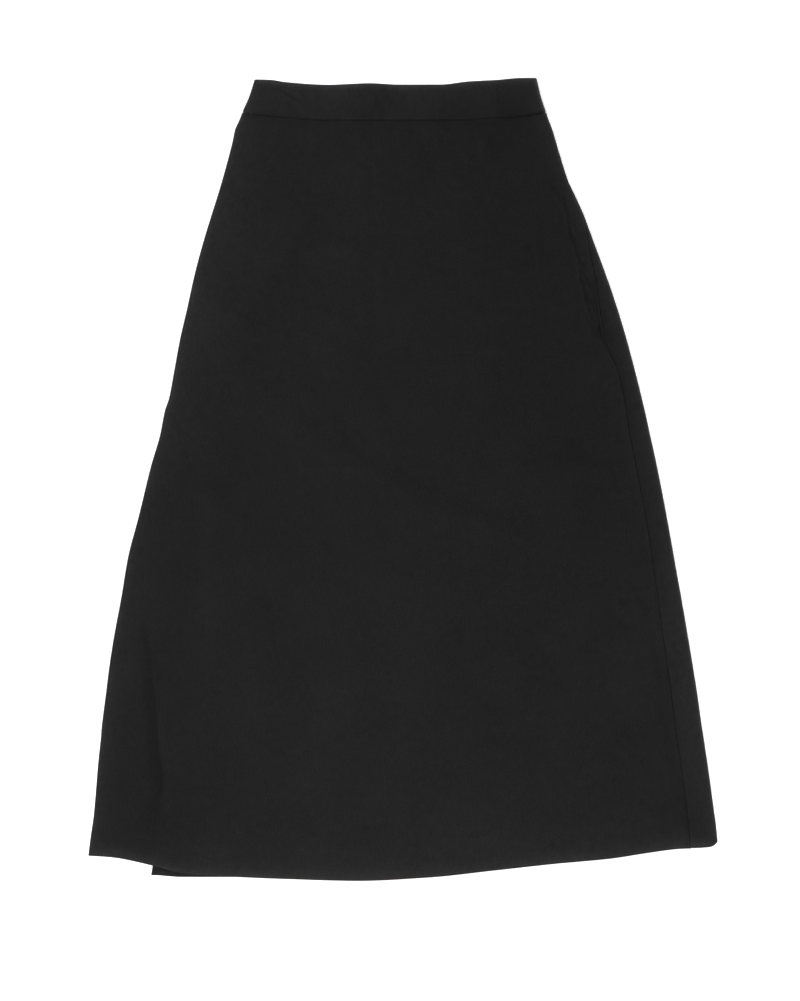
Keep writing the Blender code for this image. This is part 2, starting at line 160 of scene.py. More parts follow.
def crease(*points):
    """One crease as a line of points: across, drop, rise and half-width, in millimetres."""
    return np.array(points, dtype=float) / 1000


# Soft creases of the front: troughs fall, ridges rise
FRONT_CREASES = [
    # slanting in from the left hip, with its shoulder above it and a branch towards the middle
    crease((-92, 150, 0, 12), (-110, 172, -0.8, 13), (-150, 226, -1.0, 14), (-182, 270, -0.8, 13),
           (-196, 292, 0, 12)),
    crease((-118, 150, 0, 16), (-150, 190, 0.5, 17), (-182, 240, 0.4, 15), (-205, 275, 0, 14)),
    crease((-116, 197, 0, 11), (-92, 193, -0.5, 12), (-58, 189, -0.5, 12), (-22, 186, 0, 11)),
    # pressed line down the centre front
    crease((-34, 50, 0.1, 5), (-33, 110, 0.2, 5), (-33, 190, 0.2, 6), (-34, 290, 0.15, 6), (-33, 385, 0, 6)),
    # long diagonal across the middle
    crease((-136, 378, 0, 13), (-118, 391, -0.45, 14), (-65, 430, -0.55, 14), (-25, 447, -0.5, 15),
           (25, 479, -0.65, 14), (82, 496, -0.55, 14), (130, 515, -0.4, 15), (168, 532, 0, 14)),
    crease((-92, 380, 0, 18), (-40, 415, 0.25, 18), (30, 452, 0.25, 18), (90, 470, 0.2, 18), (140, 484, 0, 18)),
    # to the right side
    crease((112, 443, 0, 11), (135, 438, -0.6, 12), (175, 436, -0.6, 12), (211, 438, -0.6, 12), (250, 452, 0, 10)),
    # from the left edge
    crease((-284, 446, 0, 5), (-273, 440, -0.8, 6), (-252, 430, -0.6, 7), (-234, 421, 0, 7)),
    crease((-266, 406, 0, 5), (-256, 399, -0.4, 6), (-244, 390, -0.3, 6), (-238, 386, 0, 6)),
    crease((-228, 446, 0, 12), (-210, 470, -0.7, 13), (-184, 505, -0.6, 14), (-166, 528, 0, 14)),
    # long waves down the lower half
    crease((-262, 462, 0, 15), (-264, 520, -0.6, 16), (-262, 600, -0.6, 16), (-258, 660, 0, 16)),
    crease((-228, 448, 0, 10), (-228, 500, 0.7, 12), (-227, 600, 0.6, 12), (-223, 690, 0.4, 13),
           (-214, 775, 0, 14)),
    crease((-160, 580, 0, 18), (-162, 640, -0.6, 20), (-160, 720, -0.6, 20), (-158, 800, 0, 20)),
    crease((-104, 570, 0, 20), (-104, 640, 0.7, 22), (-105, 720, 0.7, 22), (-108, 810, 0, 22)),
    crease((-54, 580, 0, 16), (-53, 640, -0.5, 18), (-53, 720, -0.5, 18), (-55, 800, 0, 18)),
    crease((-8, 560, 0, 20), (-8, 630, 0.6, 22), (-6, 720, 0.6, 22), (-4, 810, 0, 22)),
    crease((176, 600, 0, 22), (168, 660, 0.5, 24), (158, 740, 0.5, 24), (150, 820, 0, 24)),
    crease((96, 590, 0, 24), (92, 670, -0.4, 26), (88, 750, -0.4, 26), (86, 830, 0, 26)),
    # short ones near the hem
    crease((-330, 800, 0, 7), (-290, 803, -0.4, 8), (-230, 806, -0.4, 8), (-180, 802, 0, 8)),
    crease((214, 812, 0, 6), (250, 820, -0.35, 7), (290, 829, -0.4, 7), (326, 838, 0, 7)),
    crease((300, 852, 0, 8), (316, 846, -0.5, 9), (330, 842, 0, 8)),
    # small dents
    crease((-254, 650, 0, 6), (-248, 659, -0.5, 7), (-244, 668, 0, 6)),
    crease((156, 658, 0, 6), (163, 666, -0.4, 7), (168, 674, 0, 6)),
    crease((238, 585, 0, 5), (245, 593, -0.4, 6), (250, 602, 0, 5)),
    crease((88, 66, 0, 6), (93, 74, -0.4, 7), (97, 84, 0, 6)),
]

# Sharp little lines beside the zip, where its tape has drawn the cloth up
ZIP_CREASES = [
    crease((173, 104, 0, 1.8), (176.5, 115, -0.15, 1.7), (179, 128, -0.2, 1.6), (181, 143, -0.2, 1.7),
           (185.5, 160, -0.15, 1.7), (187.5, 175, -0.25, 1.6), (190, 184, -0.25, 1.6), (193, 195, -0.25, 1.8),
           (198.5, 210, -0.15, 1.7), (199, 227, -0.2, 1.6), (203, 238, -0.2, 1.7), (205.5, 251, -0.25, 1.8),
           (208, 262, 0, 1.6)),
    # short puckers across it
    crease((164, 124, 0, 2.2), (170.5, 127, -0.2, 2.4), (175, 130, 0, 2.0)),
    crease((184, 146, 0, 1.5), (189, 150, 0.3, 1.7), (196, 157, 0, 1.6)),
    crease((186, 165, 0, 1.5), (192, 168, -0.25, 1.6), (199, 175, 0, 1.5)),
    crease((191, 177, 0, 1.5), (196, 181, 0.3, 1.7), (204, 189, 0, 1.6)),
    crease((184, 198, 0, 1.5), (192, 200, -0.15, 1.5), (204, 200, -0.2, 1.5), (210, 202, 0, 1.5)),
    crease((198, 204, 0, 1.6), (203, 208, 0.3, 1.8), (210, 215, 0, 1.6)),
    crease((201, 216, 0, 1.5), (206, 221, 0.3, 1.8), (211, 229, 0, 1.6)),
    crease((204, 229, 0, 1.5), (209, 234, -0.25, 1.6), (213, 243, 0, 1.5)),
    crease((207, 243, 0, 1.5), (212, 249, 0.3, 1.8), (217, 258, 0, 1.6)),
    crease((206, 258, 0, 1.6), (210, 264, -0.3, 1.8), (212, 274, 0, 1.6)),
    # between it and the seam
    crease((207, 177, 0, 1.5), (210, 188, -0.25, 1.5), (212, 201, -0.25, 1.6), (214, 214, 0, 1.5)),
    crease((212, 222, 0, 1.7), (216, 229, -0.35, 1.9), (217, 240, -0.3, 1.8), (219, 252, 0, 1.6)),
    # short one on the far side of the seam
    crease((229, 280, 0, 1.6), (232, 288, -0.3, 1.6), (235, 297, -0.3, 1.6), (237, 306, -0.2, 1.6),
           (240, 316, 0, 1.5)),
    # the soft ridge over the zip itself
    crease((186, 112, 0, 4), (193, 140, 0.3, 4.5), (201, 176, 0.4, 4.5), (208, 212, 0.4, 5), (214, 248, 0.2, 5),
           (222, 280, 0, 5)),
]

# Painted shade along lines that are too sharp and deep for light to reach into, and painted highlights on a few
# ridges beside them. In this list and the next three, the third number is a share of the cloth's tone in
# thousandths, below zero where it is darker.
DEEP_LINES = [
    crease((165, 118, 0, 1.5), (168.5, 126, -190, 2.0), (171, 134, 0, 1.5)),
    crease((176, 118, 0, 1.2), (180, 131, -110, 1.4), (183, 141, -150, 1.3), (185.5, 155, -60, 1.2),
           (187.5, 168, -130, 1.4), (189.5, 179, -300, 1.7), (189, 187, -160, 1.3), (189, 198, -230, 1.6),
           (193, 206, -60, 1.2)),
    crease((194, 188, 0, 1.2), (197.5, 200, -200, 1.5), (200, 210, -90, 1.2), (199.5, 219, -170, 1.4),
           (200.5, 228, -320, 1.7), (203, 238, -150, 1.3), (205, 246, -420, 1.8), (207, 256, -200, 1.5),
           (210, 263, -130, 1.5), (212, 270, 0, 1.2)),
    crease((183, 198, 0, 1.1), (192, 200, -120, 1.3), (204, 200, -120, 1.3), (210, 202, 0, 1.1)),
    crease((205, 176, 0, 1.2), (208.5, 190, -150, 1.4), (210, 201, -300, 1.5), (213, 214, -170, 1.4),
           (217, 228, -480, 1.8), (216, 238, -120, 1.4), (216, 248, -260, 1.6), (218.5, 256, -160, 1.4),
           (220, 264, -260, 1.6), (221, 274, -230, 1.5), (222, 286, -600, 1.8), (225, 294, -400, 1.7),
           (230, 304, -330, 1.6), (235, 314, -120, 1.3), (240, 328, 0, 1.2)),
    crease((227, 280, 0, 1.2), (230, 287, -260, 1.4), (233, 296, -230, 1.4), (236, 308, -120, 1.3),
           (239, 316, 0, 1.2)),
    # in from the left edge
    crease((-247, 389, 0, 2), (-252, 397, -130, 2.5), (-258, 403, 0, 2)),
    crease((-274, 446, 0, 3), (-266, 441, -130, 4), (-260, 434, -140, 5), (-252, 427, 0, 4)),
    crease((-266, 414, 0, 4), (-259, 408, 100, 4), (-251, 403, 0, 4)),
    crease((-275, 434, 0, 3), (-270, 428, 110, 4), (-263, 420, 0, 3)),
    crease((-212, 371, 0, 3), (-206, 377, -150, 3.5), (-199, 384, 0, 3)),
    crease((-227, 459, 0, 3), (-219, 460, -130, 3.5), (-209, 461, 0, 3)),
    # on the waistband
    crease((-147, 10, 0, 1.3), (-140, 14, -350, 1.5), (-128, 21, -480, 1.6), (-117, 27.5, -480, 1.5),
           (-111, 31, 0, 1.3)),
    crease((105, 8, -60, 1.2), (105.5, 20, -100, 1.2), (106, 34, -80, 1.2), (106, 44, 0, 1.2)),
]

# Painted light and shade: broad places where the cloth is painted lighter or darker for how the light falls on it
PAINTED_LIGHT_PATCHES = [
    # down the right, over the left hip and the middle, and in the lower half
    crease((149, 47, -120, 62), (155, 183, -175, 66), (178, 340, -160, 80), (211, 476, -145, 80),
           (223, 554, -60, 60)),
    crease((98, 50, -40, 28), (99, 183, -50, 28), (95, 380, -50, 28), (110, 460, -30, 28)),
    crease((-189, 70, 130, 42), (-200, 149, 200, 42), (-211, 239, 215, 42), (-230, 318, 115, 42),
           (-240, 385, 70, 42)),
    crease((-120, 59, 80, 45), (-75, 92, 110, 45), (-70, 171, 90, 45), (-88, 250, 75, 45), (-105, 329, 95, 45),
           (-110, 390, 20, 45)),
    crease((-150, 120, 30, 26), (-150, 175, 60, 26), (-160, 215, 0, 26)),
    crease((-115, 640, 60, 40), (-110, 769, 140, 40), (-82, 850, 150, 40)),
    crease((-22, 600, 80, 30), (-22, 640, 150, 30), (-14, 724, 110, 30), (-14, 802, 140, 30), (10, 870, 90, 30)),
    crease((70, 847, 160, 35), (121, 870, 160, 35)),
    crease((120, 740, 0, 24), (118, 790, 90, 24), (118, 850, 40, 24)),
    crease((-341, 859, -130, 35), (-262, 814, -120, 35), (-239, 791, -50, 35)),
    crease((-273, 442, -90, 22), (-279, 509, -140, 22), (-280, 555, -110, 22)),
    crease((-206, 476, -80, 18), (-203, 509, -80, 18)),
    crease((-307, 600, -70, 14), (-313, 645, -180, 16), (-318, 701, -165, 16), (-320, 800, -80, 16)),
    crease((-262, 590, 0, 12), (-261, 620, -60, 12), (-260, 675, -80, 12), (-258, 705, 0, 12)),
    crease((-232, 550, 60, 14), (-232, 640, 90, 14), (-230, 740, 70, 14)),
    crease((335, 790, -150, 25), (335, 859, -170, 25)),
    crease((281, 470, 160, 12), (285, 509, 150, 12)),
    # the imprint of an edge below, at the lower left: its lit side and its shaded side
    crease((-292, 628, 0, 6), (-290, 656, 120, 7), (-287, 680, 100, 7), (-285, 702, 50, 7), (-284, 722, 0, 7)),
    crease((-280, 632, 0, 5), (-279, 656, -60, 5), (-277, 678, -110, 5), (-274, 700, -70, 5), (-272, 715, 0, 5)),
    # small soft places
    crease((-64, 50, 40, 24), (-52, 76, 90, 24), (-62, 105, 40, 24)),
    crease((-350, 850, -60, 14), (-262, 876, -70, 12)),
    crease((76, 470, 0, 18), (120, 476, 60, 18), (160, 474, 60, 18), (190, 470, 0, 18)),
    crease((-12, 446, 0, 14), (-40, 448, 0, 14), (-60, 446, -60, 14), (-95, 440, -40, 14), (-120, 436, 0, 14)),
    crease((160, 640, 0, 14), (175, 638, -70, 14), (200, 640, -70, 14), (215, 645, 0, 14)),
    crease((198, 730, 0, 14), (205, 745, 80, 16), (212, 770, 90, 16), (216, 800, 0, 14)),
    crease((-318, 570, -50, 12), (-324, 640, -50, 12), (-330, 700, -50, 12), (-334, 730, 0, 12)),
    crease((105, 442, 0, 10), (140, 441, -80, 11), (200, 444, 0, 10), (245, 440, -75, 12), (258, 430, 0, 10)),
    # beside the zip
    crease((211, 215, 0, 5), (213, 228, -110, 6), (216, 250, -150, 6), (219, 270, -150, 6), (220, 300, -70, 6),
           (226, 320, 0, 6)),
    # the front's hem above the open corner
    crease((-290, 878, -60, 6), (-270, 885, -200, 6), (-245, 890, -150, 5), (-225, 894, 0, 5)),
    # the waistband
    crease((-42, 8, -90, 14), (-20, 24, -110, 16), (-38, 44, -80, 12)),
    crease((56, 8, -110, 14), (64, 26, -150, 20), (84, 44, -100, 14)),
    crease((30, 14, -40, 14), (46, 28, -90, 15), (52, 46, -110, 15)),
    crease((-165, 14, 60, 10), (-155, 30, 60, 10), (-128, 26, 60, 14), (-70, 26, 50, 20)),
]

# The shade that the front's hem throws on the corner of the back below it
CORNER_SHADE = [
    crease((-290, 883, -250, 4), (-275, 889, -330, 3), (-262, 891.5, -330, 3), (-246, 896.5, -380, 2.5),
           (-232, 899, -250, 2), (-210, 901, 0, 2)),
]

# Faint brown thread in the front's hem
HEM_THREAD = [
    crease((-236, 896, 0, 2.5), (-222, 897.5, 500, 2.5), (-206, 899, 500, 2.5), (-196, 900, 0, 2.5)),
    crease((-152, 901, 0, 2.5), (-138, 901.7, 600, 2.5), (-104, 902.6, 600, 2.5), (-88, 903, 0, 2.5)),
    crease((-44, 904, 0, 2.5), (-28, 904, 850, 2.5), (4, 902.2, 900, 2.5), (26, 900.6, 0, 2.5)),
    crease((66, 896.5, 0, 2.5), (108, 892, 300, 2.5), (173, 885, 250, 2.5), (237, 879, 250, 2.5),
           (300, 870, 0, 2.5)),
]

# Creases of the waistband
BAND_CREASES = [
    crease((-146, 10, 0, 1.6), (-139, 14, -0.2, 1.6), (-128, 20.5, -0.25, 1.5), (-117, 27, -0.25, 1.5),
           (-111, 31, 0, 1.4)),
    crease((-134, 30, 0, 5), (-124, 29, 0.5, 6), (-112, 27, 0, 5)),
    crease((105, 8, -0.1, 1.4), (105.5, 20, -0.2, 1.4), (106, 34, -0.2, 1.4), (106, 44, -0.1, 1.4)),
    crease((76, 32, 0, 5), (88, 28, 0.35, 6), (102, 26, 0.1, 5)),
]

# Soft waves of the back where it lies on the surface, seen from below
BACK_CREASES = [
    crease((-120, 90, 0, 14), (-96, 150, 0.35, 16), (-70, 230, 0.4, 16), (-62, 300, 0, 14)),
    crease((60, 120, 0, 12), (84, 190, 0.3, 14), (120, 260, 0.35, 14), (150, 310, 0, 12)),
    crease((-190, 380, 0, 14), (-120, 420, 0.4, 15), (-30, 446, 0.35, 15), (60, 440, 0, 14)),
    crease((-210, 520, 0, 16), (-206, 620, 0.4, 18), (-214, 740, 0.4, 18), (-218, 840, 0, 16)),
    crease((-60, 560, 0, 18), (-64, 650, 0.4, 20), (-58, 760, 0.35, 20), (-60, 850, 0, 18)),
    crease((110, 540, 0, 18), (120, 640, 0.45, 20), (126, 750, 0.4, 20), (130, 840, 0, 18)),
    crease((230, 400, 0, 12), (214, 450, 0.35, 14), (170, 500, 0.3, 14), (120, 530, 0, 12)),
]


def read(sheet, column, place):
    """One column's values at places along the first column, on a smooth curve through the rows."""
    keys = next(iter(sheet.values()))
    values = sheet[column]
    rates = np.diff(values) / np.diff(keys)
    turns = rates[:-1] * rates[1:] <= 0
    inner = np.where(turns, 0.0, 2 * rates[:-1] * rates[1:] / np.where(turns, 1.0, rates[:-1] + rates[1:]))
    slopes = np.concatenate([rates[:1], inner, rates[-1:]])
    place = np.clip(place, keys[0], keys[-1])
    row = np.clip(np.searchsorted(keys, place) - 1, 0, len(keys) - 2)
    step = keys[row + 1] - keys[row]
    t = (place - keys[row]) / step
    start = (1 + 2 * t) * (1 - t) ** 2 * values[row] + t * (1 - t) ** 2 * step * slopes[row]
    end = t * t * (3 - 2 * t) * values[row + 1] - t * t * (1 - t) * step * slopes[row + 1]
    return start + end


def ease(low, high, value):
    """Smooth step from 0 at low to 1 at high."""
    t = np.clip((value - low) / (high - low), 0.0, 1.0)
    return t * t * (3 - 2 * t)


def waist_seam(across):
    """Drop of the seam between the waistband and the panels, which sags between the sides."""
    return WAIST_SEAM_DROP + WAIST_SEAM_SAG * (1 - np.abs(2 * across - 1) ** WAIST_SEAM_POWER)


def right_parting(drop):
    """Width of the gap between the two edges at the right seam, which is open below the slit's top."""
    below = np.maximum(drop - SLIT_DROP, 0.0)
    wave = 0.5 - 0.5 * np.cos(below / SLIT_WAVE * math.pi)
    rolled = 1 - ease(0.0, 0.05, np.abs(drop - ROLL_DROP))
    return GAP + SLIT_PARTING * wave * ease(0.0, 0.05, below) + ROLL_PARTING * rolled


def relief(creases, x, drop):
    """Rise of the cloth at each point from a list of creases. Each fades out sideways and past its ends."""
    total = np.zeros(np.broadcast(x, drop).shape)
    for line in creases:
        nearest = np.full(total.shape, np.inf)
        rise = np.zeros(total.shape)
        width = np.ones(total.shape)
        for (x0, drop0, rise0, width0), (x1, drop1, rise1, width1) in zip(line[:-1], line[1:]):
            run = (x1 - x0) ** 2 + (drop1 - drop0) ** 2
            share = np.clip(((x - x0) * (x1 - x0) + (drop - drop0) * (drop1 - drop0)) / run, 0.0, 1.0)
            off = np.hypot(x - x0 - share * (x1 - x0), drop - drop0 - share * (drop1 - drop0))
            nearer = off < nearest
            nearest = np.where(nearer, off, nearest)
            rise = np.where(nearer, rise0 + (rise1 - rise0) * share * share * (3 - 2 * share), rise)
            width = np.where(nearer, width0 + (width1 - width0) * share, width)
        total += rise * np.exp(-(nearest / width) ** 2)
    return total


def unevenness(x, drop, size, layers):
    """Gentle uneven swell of the cloth, between about -1 and 1, with hollows of the given size."""
    flat = zip(np.ravel(x / size), np.ravel(drop / size))
    swell = [noise.fractal(Vector((u, v, 0.37)), 0.6, 2.0, layers) for u, v in flat]
    return np.array(swell).reshape(np.shape(x))


def turned_in(from_edge, roll):
    """How far a rolled-in edge lies from its seam, and how deep, at distances along the cloth from the edge."""
    turn = roll * math.pi / 2 + SEAM_DEPTH
    angle = np.clip((turn - from_edge) / roll, 0.0, math.pi / 2)
    beyond = np.maximum(from_edge - turn, 0.0)
    straight = np.maximum(SEAM_DEPTH - from_edge, 0.0)
    across = CLOTH / 2 + roll * (1 - np.sin(angle)) + beyond
    hollow = SEAM_HOLLOW * roll * np.exp(-beyond / (5 * roll))
    return across, roll * (1 - np.cos(angle)) + straight + hollow


class Ring:
    """A flattened ring of cloth: one cross-section for each step down, from the left outline to the right one."""

    def __init__(self, down, top, bottom, wall, left_radius, right_radius):
        self.down = down[:, None]
        self.top, self.bottom, self.wall = top, bottom, wall
        self.left_drop, self.right_drop = self.drop_at(0.0), self.drop_at(1.0)
        self.left = read(OUTLINE, "left", self.left_drop)
        self.right = read(OUTLINE, "right", self.right_drop)
        self.left_radius, self.right_radius = left_radius(self.left_drop), right_radius
        self.left_quarter = math.pi / 2 * self.left_radius
        self.right_quarter = math.pi / 2 * self.right_radius
        self.girth = (self.right - self.left - wall - self.left_radius - self.right_radius
                      + self.left_quarter + self.right_quarter)

    def drop_at(self, across):
        top = self.top(across)
        return top + self.down * (self.bottom(across) - top)

    def fold(self, reach, radius):
        """Inset from the outline, height and tilt of the cloth at a reach from a side fold."""
        angle = np.clip(reach / radius, -math.pi / 2, math.pi / 2)
        beyond = np.maximum(np.abs(reach) - math.pi / 2 * radius, 0.0)
        inset = self.wall / 2 + radius * (1 - np.cos(angle)) + beyond
        return inset, self.wall / 2 + radius * (1 + np.sin(angle)), angle

    def reach_under(self, radius, inset):
        return -(inset - self.wall / 2 - radius + math.pi / 2 * radius)

    def lay(self, from_left, height, underside, dip):
        """Middle surface of the cloth at reaches from the left fold. Dip draws it in, square to the cloth."""
        from_right = self.girth - from_left
        left_inset, left_z, left_angle = self.fold(from_left, self.left_radius)
        right_inset, right_z, right_angle = self.fold(from_right, self.right_radius)
        leftward = from_left < from_right
        # the back's underside is reached over the right fold, and the front's over the left one
        x = np.where(leftward & (from_right > 0), self.left + left_inset, self.right - right_inset)
        angle = np.where(leftward, left_angle, right_angle)
        z = np.where(leftward, left_z, right_z)
        tilt_x = np.where(leftward, -np.cos(angle), np.cos(angle))
        across = (x - self.left) / (self.right - self.left)
        drop = self.drop_at(across)
        on_top = (from_left > self.left_quarter) & (from_right > self.right_quarter)
        below = (from_left < -self.left_quarter) | (from_right < -self.right_quarter)
        z = np.where(on_top, height(self, x, drop), z)
        z = np.where(below, z + underside(x, drop), z)
        middle = np.stack([x - tilt_x * dip, -drop, z - np.sin(angle) * dip], axis=2)
        return middle, drop


def folded_height(ring, x, drop, rest, zip_bulk=0.0):
    """Height of the upper layer: at rest in the middle, and rising to the rounded top of each side fold."""
    fold_left = ring.wall / 2 + 2 * ring.left_radius
    fold_right = ring.wall / 2 + 2 * ring.right_radius
    in_left = np.maximum(x - ring.left - ring.wall / 2 - ring.left_radius, 0.0)
    in_right = np.maximum(ring.right - x - ring.wall / 2 - ring.right_radius - zip_bulk, 0.0)
    left_share = np.exp(-(in_left / FOLD_SPREAD) ** 2)
    right_share = np.exp(-(in_right / FOLD_SPREAD) ** 2)
    return rest + (fold_left - rest) * left_share + (fold_right - rest) * right_share


def panel_height(ring, x, drop):
    in_left = x - ring.left - ring.wall / 2 - ring.left_radius
    in_right = ring.right - x - ring.wall / 2 - ring.right_radius
    inside = np.minimum(in_left, in_right)
    loft = PANEL_LOFT + BAND_EASE * np.exp(-np.maximum(drop - WAIST_SEAM_DROP, 0.0) / BAND_EASE_LENGTH)
    loft = loft + WAIST_RISE * np.exp(-np.maximum(drop - WAIST_SEAM_DROP, 0.0) / WAIST_RISE_LENGTH)
    loft = loft + relief(FRONT_CREASES, x, drop) * ease(0.002, 0.018, inside)
    loft = loft + relief(ZIP_CREASES, x, drop) * ease(0.001, 0.005, inside)
    beside_zip = np.exp(-((in_right - read(ZIP_PATH, "inset", drop)) / BESIDE_ZIP) ** 2)
    beside_zip = beside_zip * ease(0.095, 0.130, drop) * (1 - ease(0.295, 0.325, drop))
    height, size = BESIDE_ZIP_SWELL
    loft = loft + height * unevenness(x, 0.8 * drop, size, 2) * beside_zip * ease(0.001, 0.004, inside)
    height, size = PANEL_SWELL
    loft = loft + height * unevenness(x, drop, size, 3) * ease(0.002, 0.012, inside)
    loft = np.maximum(loft, LEAST_LOFT)
    # the front drapes over the back's left edge below the slit's top, and lies on the surface beyond it
    edge = read(LEFT_SIDE, "back", drop) + ring.left - x
    opened = ease(SLIT_DROP - 0.02, SLIT_DROP + 0.08, drop)
    reach = 0.0075 + 0.020 * ease(0.790, 0.850, drop)
    bare = (1 - np.exp(-(np.maximum(edge - 0.001, 0.0) / reach) ** 1.6)) * opened
    support = (PANEL_WALL + GAP) * (1 - bare)
    loft = loft * (1 - 0.9 * bare)
    return folded_height(ring, x, drop, PANEL_WALL / 2 + support + loft)


def band_height(ring, x, drop):
    inside = np.minimum(x - ring.left, ring.right - x) - ring.wall / 2 - BAND_FOLD
    rest = BAND_WALL / 2 + BAND_WALL + GAP + BAND_LOFT
    swell, size = BAND_SWELL
    wrinkles = relief(BAND_CREASES, x, drop) + swell * unevenness(x, drop, size, 3)
    return folded_height(ring, x, drop, rest, ZIP_BULK) + wrinkles * ease(0.001, 0.008, inside)


def panel_underside(x, drop):
    """The lower layer rests on the surface and stands off it only in its soft waves."""
    swell, size = UNDERSIDE_SWELL
    return np.maximum(relief(BACK_CREASES, x, drop) + swell * (1 + unevenness(x, drop, size, 2)), 0.0)


def band_underside(x, drop):
    """The same for the waistband's back half."""
    swell, size = BAND_UNDERSIDE_SWELL
    return swell * (1 + unevenness(x, drop, size, 2))


def spaced(start, end, count, close_spots):
    """Places from start to end, closer together around some spots: (place, half-width, spacing there)."""
    fine = np.linspace(0.0, 1.0, 1200)
    places = start + (end - start) * fine
    density = np.zeros_like(fine)
    for spot, half_width, spacing in close_spots:
        density += np.exp(-(((places - spot) / half_width) ** 4)) / spacing
    length = end - start
    close = np.sum((density[1:] + density[:-1]) / 2 * np.diff(places))
    density += max(count - 1 - close, 0.3 * count) / length
    grown = np.concatenate([[0.0], np.cumsum((density[1:] + density[:-1]) / 2)])
    return np.interp(np.linspace(0.0, 1.0, count), grown / grown[-1], places)


def edge_share(from_edge, nose):
    """Share of the full thickness near an edge, so that the edge is a round nose."""
    near = np.clip(1 - from_edge / nose, 0.0, 1.0)
    return np.sqrt(np.maximum(1 - near ** 2, 0.02))


def cloth_wall(name, middle, thickness, plan, marks):
    """A thin closed wall of cloth about a middle surface, given as rows that run down the skirt. Plan is the place
    of each point on the flat cloth, and marks are the shares that its material reads."""
    rows, columns = middle.shape[:2]
    along = np.gradient(middle, axis=1)
    downward = np.gradient(middle, axis=0)
    normal = np.cross(downward, along)
    normal /= np.maximum(np.linalg.norm(normal, axis=2, keepdims=True), 1e-12)
    half = thickness[..., None] / 2
    points = np.vstack([(middle + normal * half).reshape(-1, 3), (middle - normal * half).reshape(-1, 3)])
    points += (-MIDDLE_X, WAIST_Y, 0.0)
    points[:, 2] = np.maximum(points[:, 2], 0.0)
    index = np.arange(rows * columns).reshape(rows, columns)
    a, b, c, d = index[:-1, :-1], index[:-1, 1:], index[1:, 1:], index[1:, :-1]
    outer = np.stack([a, d, c, b], axis=2).reshape(-1, 4)
    inner = np.stack([a, b, c, d], axis=2).reshape(-1, 4) + rows * columns
    rim = np.concatenate([index[0, :], index[1:, -1], index[-1, -2::-1], index[-2:0:-1, 0]])
    after = np.roll(rim, -1)
    edge = np.stack([rim, after, after + rows * columns, rim + rows * columns], axis=1)
    mesh = bpy.data.meshes.new(name)
    mesh.from_pydata(points.tolist(), [], np.vstack([outer, inner, edge]).tolist())
    mesh.update()
    mesh.shade_smooth()
    flat = np.vstack([plan.reshape(-1, 2)] * 2)
    corners = np.empty(len(mesh.loops), dtype=np.int32)
    mesh.loops.foreach_get("vertex_index", corners)
    mesh.uv_layers.new(name="plan").data.foreach_set("uv", flat[corners].ravel())
    for mark, values in marks.items():
        layer = mesh.attributes.new(mark, "FLOAT", "POINT")
        layer.data.foreach_set("value", np.tile(values.ravel(), 2).astype(np.float32))
    piece = bpy.data.objects.new(name, mesh)
    bpy.context.scene.collection.objects.link(piece)
    return piece


def outline_mark(ring, x, drop, top, bottom):
    """How strong the painted highlight along the outline is at each point: 1 on it, fading inwards, where the
    cloth turns down at its edges.
    """
    left, right = x - ring.left, ring.right - x
    inside = np.maximum(np.minimum(np.minimum(left, right), drop - top), 0.0)
    sides = 0.70 * np.exp(-inside / FINE_RIM) + 0.30 * np.exp(-inside / SOFT_RIM)
    # a stronger painted highlight along the left and top edges, away from the key light
    away_from_light = np.maximum(np.minimum(left, drop - top), 0.0)
    sides += (0.60 - 0.30 * ease(0.42, 0.56, drop)) * np.exp(-(away_from_light / FAR_RIM) ** 2)
    hem = np.maximum(bottom - drop, 0.0)
    painted_light = np.maximum(sides, 0.80 * np.exp(-hem / HEM_RIM) + 0.25 * np.exp(-hem / SOFT_RIM))
    # less painted highlight right at the right edge, which the key light already lights
    return painted_light * (1 - 0.75 * np.exp(-(right / SHADED_RIM) ** 2))


def painted_shading(x, drop, *lists):
    """Share by which the cloth is painted lighter or darker at each point, standing in for light and shade."""
    return sum(relief(lines, x, drop) for lines in lists)


